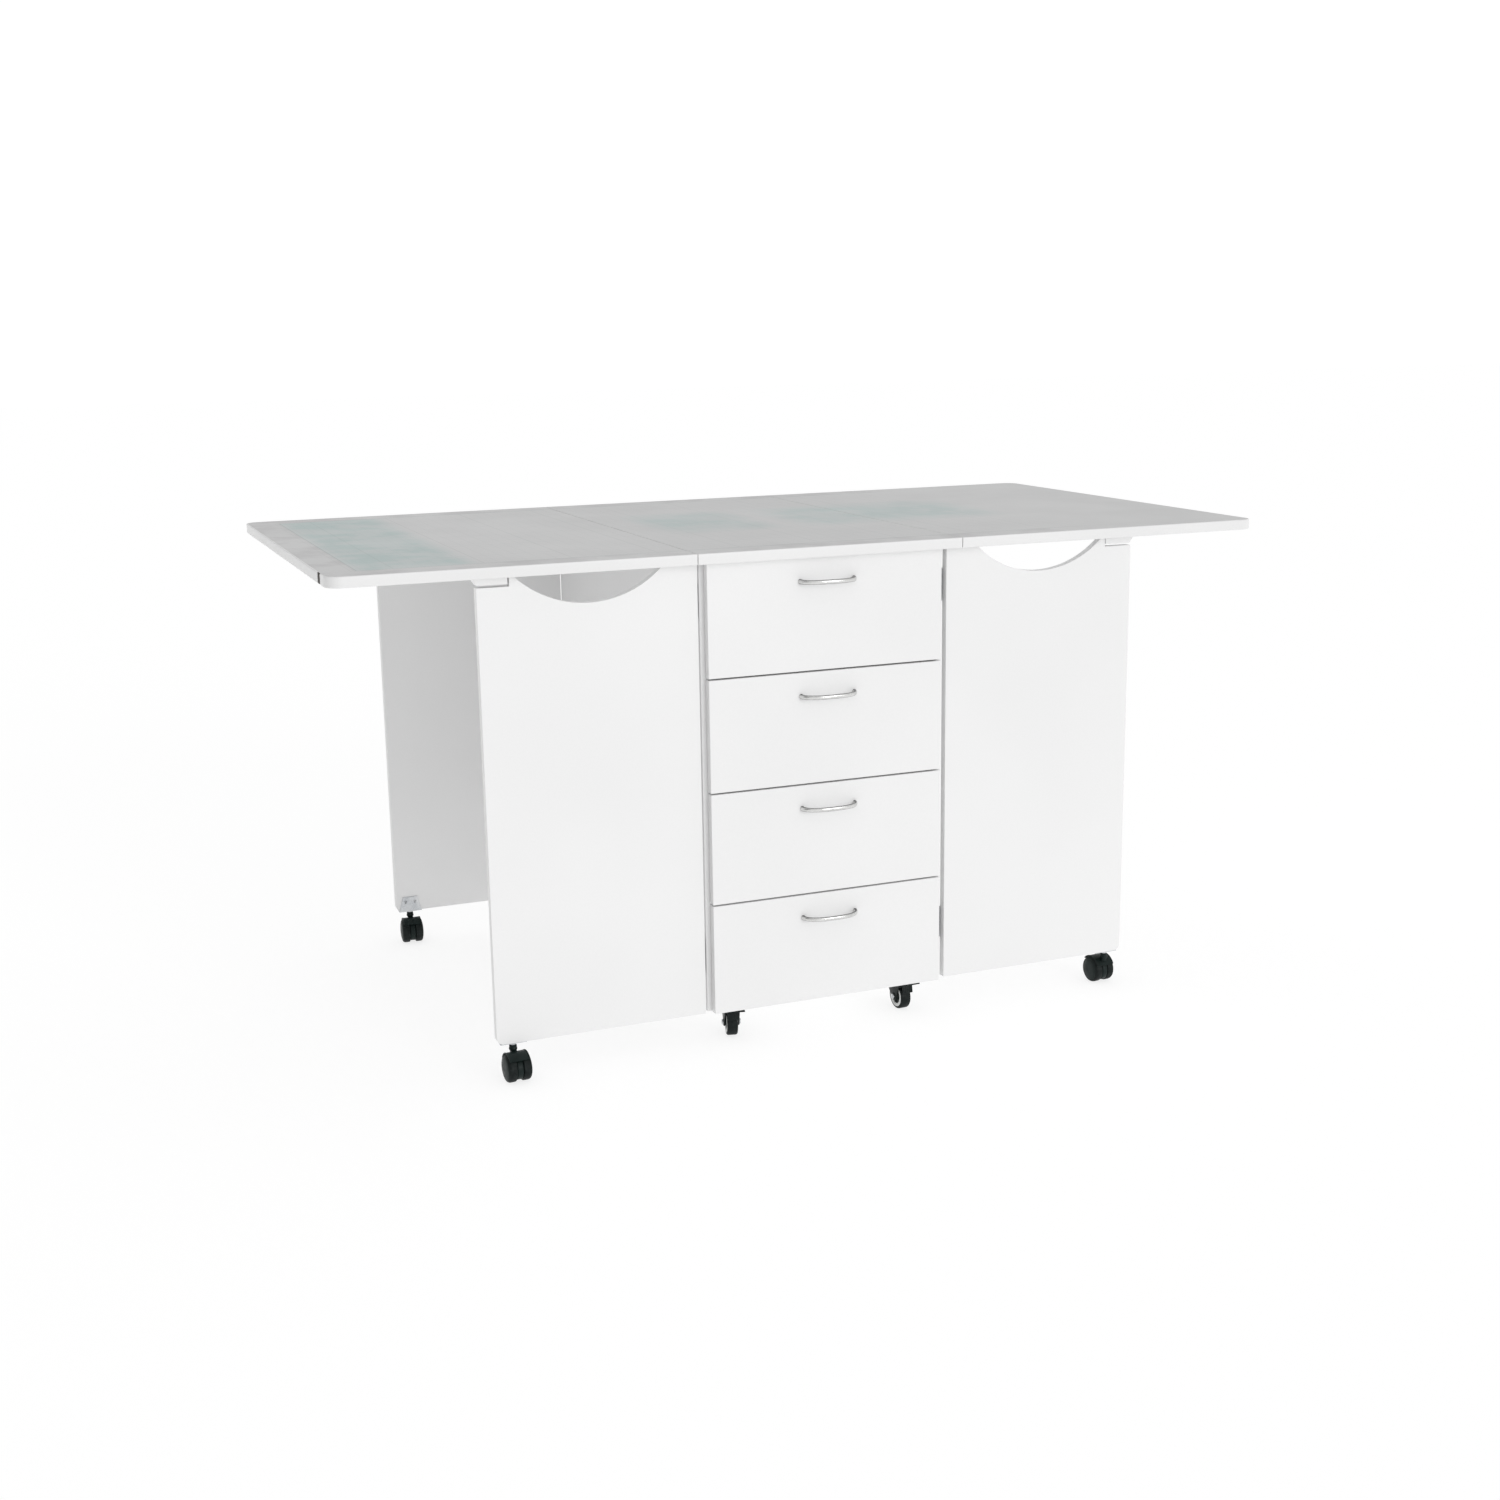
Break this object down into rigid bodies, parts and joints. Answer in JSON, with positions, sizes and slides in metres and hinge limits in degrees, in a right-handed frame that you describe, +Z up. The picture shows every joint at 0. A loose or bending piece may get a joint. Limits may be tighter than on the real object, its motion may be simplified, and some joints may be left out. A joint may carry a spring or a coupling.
{
  "type": "sewing table",
  "caption": "Drop-leaf sewing and cutting table: caster-mounted drawer cabinet with rear shelves, a three-piece printed top and swing-out gates on casters that carry the leaves.",
  "frame": {"origin": "on the floor under the centre of the top's outline, leaves raised", "axes": "+X to the right as seen from the drawer side, along the top's length; -Y towards the drawer side; +Z up"},
  "size_m": [1.7646, 0.94, 0.907],
  "materials": {
    "printed_melamine_top": "printed grey-green melamine cutting surface, satin",
    "edging": "white plastic edging, satin",
    "white_melamine_board": "particle board faced with white melamine, satin",
    "drawer_board": "white foil-wrapped board, matt",
    "white_coated_steel": "white epoxy-coated steel runners",
    "zinc_plated_steel": "bright zinc plate",
    "satin_nickel": "satin nickel",
    "black_steel": "black powder coat",
    "black_nylon": "moulded black nylon, semi-gloss",
    "black_wheel_rubber": "black caster tread"
  },
  "bodies": {
    "cabinet": {"center_top": "printed_melamine_top", "center_top_edging": "edging", "left_side_panel": "white_melamine_board", "right_side_panel": "white_melamine_board", "bottom_panel": "white_melamine_board", "divider_panel": "white_melamine_board", "top_rails": "white_melamine_board", "shelves": "white_melamine_board", "shelf_pins": "zinc_plated_steel", "drawer_runners": "white_coated_steel", "leaf_hinge_center_plates": "zinc_plated_steel", "gate_hinge_cabinet_plates": "zinc_plated_steel", "hinge_pins": "zinc_plated_steel", "caster_plates": "black_steel"},
    "left_leaf_assembly": {"left_leaf": "printed_melamine_top", "left_leaf_edging": "edging", "left_leaf_hinge_plates": "zinc_plated_steel", "left_leaf_stop_blocks": "white_melamine_board"},
    "right_leaf_assembly": {"right_leaf": "printed_melamine_top", "right_leaf_edging": "edging", "right_leaf_hinge_plates": "zinc_plated_steel", "right_leaf_stop_blocks": "white_melamine_board"},
    "front_left_gate_assembly": {"front_left_gate": "white_melamine_board", "front_left_gate_fittings": "zinc_plated_steel"},
    "front_left_gate_caster_swivel": {"front_left_gate_caster_hood": "black_nylon"},
    "front_left_gate_caster_wheel_pair": {"front_left_gate_caster_wheels": "black_wheel_rubber"},
    "front_right_gate_assembly": {"front_right_gate": "white_melamine_board", "front_right_gate_fittings": "zinc_plated_steel"},
    "front_right_gate_caster_swivel": {"front_right_gate_caster_hood": "black_nylon"},
    "front_right_gate_caster_wheel_pair": {"front_right_gate_caster_wheels": "black_wheel_rubber"},
    "rear_left_gate_assembly": {"rear_left_gate": "white_melamine_board", "rear_left_gate_fittings": "zinc_plated_steel"},
    "rear_left_gate_caster_swivel": {"rear_left_gate_caster_hood": "black_nylon"},
    "rear_left_gate_caster_wheel_pair": {"rear_left_gate_caster_wheels": "black_wheel_rubber"},
    "rear_right_gate_assembly": {"rear_right_gate": "white_melamine_board", "rear_right_gate_fittings": "zinc_plated_steel"},
    "rear_right_gate_caster_swivel": {"rear_right_gate_caster_hood": "black_nylon"},
    "rear_right_gate_caster_wheel_pair": {"rear_right_gate_caster_wheels": "black_wheel_rubber"},
    "front_left_caster_swivel": {"front_left_caster_fork": "black_steel"},
    "front_left_caster_roller": {"front_left_caster_wheel": "black_wheel_rubber"},
    "front_left_caster_brake": {"front_left_brake_pedal": "black_steel"},
    "front_right_caster_swivel": {"front_right_caster_fork": "black_steel"},
    "front_right_caster_roller": {"front_right_caster_wheel": "black_wheel_rubber"},
    "front_right_caster_brake": {"front_right_brake_pedal": "black_steel"},
    "rear_left_caster_swivel": {"rear_left_caster_fork": "black_steel"},
    "rear_left_caster_roller": {"rear_left_caster_wheel": "black_wheel_rubber"},
    "rear_right_caster_swivel": {"rear_right_caster_fork": "black_steel"},
    "rear_right_caster_roller": {"rear_right_caster_wheel": "black_wheel_rubber"},
    "drawer_1": {"drawer_1_front": "white_melamine_board", "drawer_1_box": "drawer_board", "drawer_1_handle": "satin_nickel"},
    "drawer_2": {"drawer_2_front": "white_melamine_board", "drawer_2_box": "drawer_board", "drawer_2_handle": "satin_nickel"},
    "drawer_3": {"drawer_3_front": "white_melamine_board", "drawer_3_box": "drawer_board", "drawer_3_handle": "satin_nickel"},
    "drawer_4": {"drawer_4_front": "white_melamine_board", "drawer_4_box": "drawer_board", "drawer_4_handle": "satin_nickel"}
  },
  "joints": [
    {"name": "left_leaf_lift", "type": "hinge", "parent": "cabinet", "child": "left_leaf_assembly", "pos_m": [-0.2535, 0, 0.8849], "axis": [0, 1, 0], "range_deg": [0, 2]},
    {"name": "right_leaf_lift", "type": "hinge", "parent": "cabinet", "child": "right_leaf_assembly", "pos_m": [0.2535, 0, 0.8849], "axis": [0, -1, 0], "range_deg": [0, 2]},
    {"name": "front_left_gate_swing", "type": "hinge", "parent": "cabinet", "child": "front_left_gate_assembly", "pos_m": [-0.23875, -0.4135, 0.45], "axis": [0, 0, -1], "range_deg": [0, 90]},
    {"name": "front_left_gate_caster_turn", "type": "hinge", "parent": "front_left_gate_assembly", "child": "front_left_gate_caster_swivel", "pos_m": [-0.601, -0.423, 0.07], "axis": [0, 0, 1], "continuous": true},
    {"name": "front_left_gate_caster_roll", "type": "hinge", "parent": "front_left_gate_caster_swivel", "child": "front_left_gate_caster_wheel_pair", "pos_m": [-0.59981, -0.43996, 0.025], "axis": [-0.9976, -0.0698, 0], "continuous": true},
    {"name": "front_right_gate_swing", "type": "hinge", "parent": "cabinet", "child": "front_right_gate_assembly", "pos_m": [0.23875, -0.4135, 0.45], "axis": [0, 0, 1], "range_deg": [0, 90]},
    {"name": "front_right_gate_caster_turn", "type": "hinge", "parent": "front_right_gate_assembly", "child": "front_right_gate_caster_swivel", "pos_m": [0.601, -0.423, 0.07], "axis": [0, 0, 1], "continuous": true},
    {"name": "front_right_gate_caster_roll", "type": "hinge", "parent": "front_right_gate_caster_swivel", "child": "front_right_gate_caster_wheel_pair", "pos_m": [0.59981, -0.40604, 0.025], "axis": [0.9976, 0.0698, 0], "continuous": true},
    {"name": "rear_left_gate_swing", "type": "hinge", "parent": "cabinet", "child": "rear_left_gate_assembly", "pos_m": [-0.23875, 0.4135, 0.45], "axis": [0, 0, 1], "range_deg": [0, 90]},
    {"name": "rear_left_gate_caster_turn", "type": "hinge", "parent": "rear_left_gate_assembly", "child": "rear_left_gate_caster_swivel", "pos_m": [-0.601, 0.423, 0.07], "axis": [0, 0, 1], "continuous": true},
    {"name": "rear_left_gate_caster_roll", "type": "hinge", "parent": "rear_left_gate_caster_swivel", "child": "rear_left_gate_caster_wheel_pair", "pos_m": [-0.60219, 0.40604, 0.025], "axis": [-0.9976, 0.0698, 0], "continuous": true},
    {"name": "rear_right_gate_swing", "type": "hinge", "parent": "cabinet", "child": "rear_right_gate_assembly", "pos_m": [0.23875, 0.4135, 0.45], "axis": [0, 0, -1], "range_deg": [0, 90]},
    {"name": "rear_right_gate_caster_turn", "type": "hinge", "parent": "rear_right_gate_assembly", "child": "rear_right_gate_caster_swivel", "pos_m": [0.601, 0.423, 0.07], "axis": [0, 0, 1], "continuous": true},
    {"name": "rear_right_gate_caster_roll", "type": "hinge", "parent": "rear_right_gate_caster_swivel", "child": "rear_right_gate_caster_wheel_pair", "pos_m": [0.59408, 0.43853, 0.025], "axis": [0.9135, 0.4067, 0], "continuous": true},
    {"name": "front_left_caster_turn", "type": "hinge", "parent": "cabinet", "child": "front_left_caster_swivel", "pos_m": [-0.171, -0.366, 0.06], "axis": [0, 0, 1], "continuous": true},
    {"name": "front_left_caster_roll", "type": "hinge", "parent": "front_left_caster_swivel", "child": "front_left_caster_roller", "pos_m": [-0.17584, -0.38541, 0.025], "axis": [-0.9703, 0.2419, 0], "continuous": true},
    {"name": "front_left_brake_press", "type": "hinge", "parent": "front_left_caster_swivel", "child": "front_left_caster_brake", "pos_m": [-0.17971, -0.40093, 0.052], "axis": [0.9703, -0.2419, 0], "range_deg": [0, 15]},
    {"name": "front_right_caster_turn", "type": "hinge", "parent": "cabinet", "child": "front_right_caster_swivel", "pos_m": [0.171, -0.366, 0.06], "axis": [0, 0, 1], "continuous": true},
    {"name": "front_right_caster_roll", "type": "hinge", "parent": "front_right_caster_swivel", "child": "front_right_caster_roller", "pos_m": [0.17205, -0.38597, 0.025], "axis": [-0.9986, -0.0523, 0], "continuous": true},
    {"name": "front_right_brake_press", "type": "hinge", "parent": "front_right_caster_swivel", "child": "front_right_caster_brake", "pos_m": [0.17288, -0.40195, 0.052], "axis": [0.9986, 0.0523, 0], "range_deg": [0, 15]},
    {"name": "rear_left_caster_turn", "type": "hinge", "parent": "cabinet", "child": "rear_left_caster_swivel", "pos_m": [-0.171, 0.366, 0.06], "axis": [0, 0, 1], "continuous": true},
    {"name": "rear_left_caster_roll", "type": "hinge", "parent": "rear_left_caster_swivel", "child": "rear_left_caster_roller", "pos_m": [-0.16416, 0.38479, 0.025], "axis": [0.9397, -0.342, 0], "continuous": true},
    {"name": "rear_right_caster_turn", "type": "hinge", "parent": "cabinet", "child": "rear_right_caster_swivel", "pos_m": [0.171, 0.366, 0.06], "axis": [0, 0, 1], "continuous": true},
    {"name": "rear_right_caster_roll", "type": "hinge", "parent": "rear_right_caster_swivel", "child": "rear_right_caster_roller", "pos_m": [0.15953, 0.38238, 0.025], "axis": [0.8192, 0.5736, 0], "continuous": true},
    {"name": "drawer_1_slide", "type": "slide", "parent": "cabinet", "child": "drawer_1", "axis": [0, -1, 0], "range_m": [0, 0.3]},
    {"name": "drawer_2_slide", "type": "slide", "parent": "cabinet", "child": "drawer_2", "axis": [0, -1, 0], "range_m": [0, 0.3]},
    {"name": "drawer_3_slide", "type": "slide", "parent": "cabinet", "child": "drawer_3", "axis": [0, -1, 0], "range_m": [0, 0.3]},
    {"name": "drawer_4_slide", "type": "slide", "parent": "cabinet", "child": "drawer_4", "axis": [0, -1, 0], "range_m": [0, 0.3]}
  ]
}
